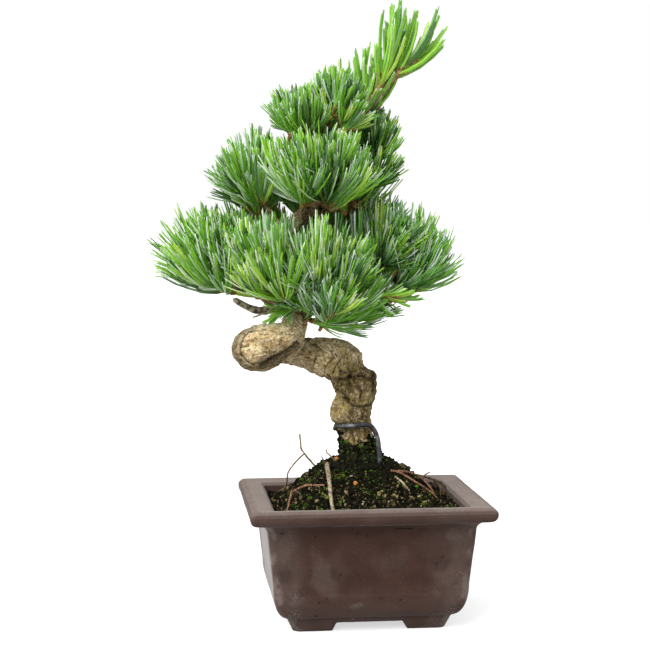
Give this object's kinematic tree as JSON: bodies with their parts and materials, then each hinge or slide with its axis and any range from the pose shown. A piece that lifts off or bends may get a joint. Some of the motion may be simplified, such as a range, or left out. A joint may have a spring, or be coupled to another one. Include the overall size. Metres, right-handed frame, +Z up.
{
  "type": "potted japanese white pine bonsai",
  "caption": "Small Japanese white pine bonsai with a corkscrew trunk and tiers of needle foliage, planted in a rectangular unglazed clay pot with a broad rim and low feet.",
  "frame": {"origin": "on the ground plane under the pot's feet, below the middle of the whole plant's bounding box", "axes": "+Z up, X along the pot's long side, and the front of the pot faces -Y"},
  "size_m": [0.1801, 0.135, 0.342],
  "materials": {
    "clay": "unglazed dark purple-brown clay with pale mineral bloom",
    "soil": "dark moist grit with moss, bark bits and roots",
    "bark": "finely flaking grey-brown bark with lichen",
    "foliage": "green needles in bundles with pale inner faces",
    "wire": "dark anodised training wire"
  },
  "bodies": {
    "root": {"bough_low_back": "bark", "bough_low_back_left": "bark", "bough_low_back_right": "bark", "bough_low_front": "bark", "bough_low_left": "bark", "bough_low_left_front": "bark", "bough_low_right": "bark", "bough_low_right_front": "bark", "bough_middle_back": "bark", "bough_middle_back_right": "bark", "bough_middle_front": "bark", "bough_middle_left": "bark", "bough_middle_right": "bark", "bough_upper_back": "bark", "bough_upper_front": "bark", "bough_upper_left": "bark", "bough_upper_right": "bark", "foliage_leader": "foliage", "foliage_leader_foot": "foliage", "foliage_low_back": "foliage", "foliage_low_back_left": "foliage", "foliage_low_back_right": "foliage", "foliage_low_far_left": "foliage", "foliage_low_front": "foliage", "foliage_low_left_front": "foliage", "foliage_low_right": "foliage", "foliage_low_right_front": "foliage", "foliage_middle_back": "foliage", "foliage_middle_back_right": "foliage", "foliage_middle_front": "foliage", "foliage_middle_left": "foliage", "foliage_middle_right": "foliage", "foliage_upper_back": "foliage", "foliage_upper_front": "foliage", "foliage_upper_left": "foliage", "foliage_upper_right": "foliage", "pot": "clay", "soil": "soil", "trunk": "bark", "wire": "wire"}
  },
  "joints": []
}
